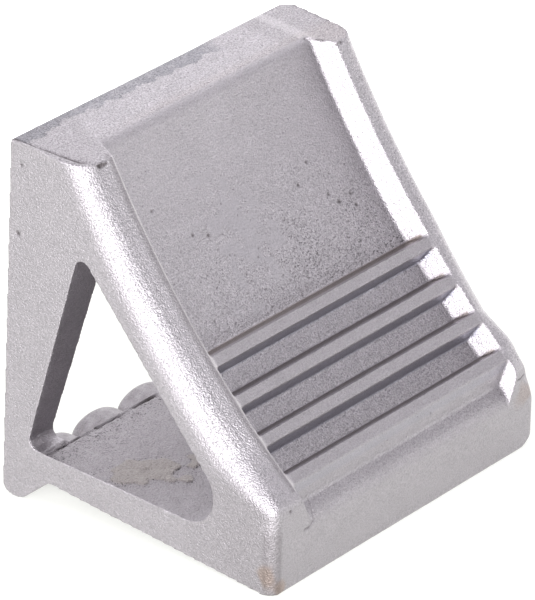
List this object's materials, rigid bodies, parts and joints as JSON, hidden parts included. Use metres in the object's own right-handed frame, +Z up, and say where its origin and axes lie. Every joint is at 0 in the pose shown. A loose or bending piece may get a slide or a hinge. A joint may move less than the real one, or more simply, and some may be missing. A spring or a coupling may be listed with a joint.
{
  "type": "wheel chock",
  "caption": "Cast aluminium wheel chock with a concave ribbed tread, raised side rails, open triangular side frames and rounded toes behind the base.",
  "frame": {"origin": "middle of the bounding box's bottom face, on the ground under the chock", "axes": "+X across the chock along the tyre's width, +Y away from the tyre towards the toes, +Z up"},
  "size_m": [0.203, 0.1688, 0.1916],
  "materials": {
    "cast_aluminium": "satin"
  },
  "bodies": {
    "root": {"chock_casting": "cast_aluminium"}
  },
  "joints": []
}
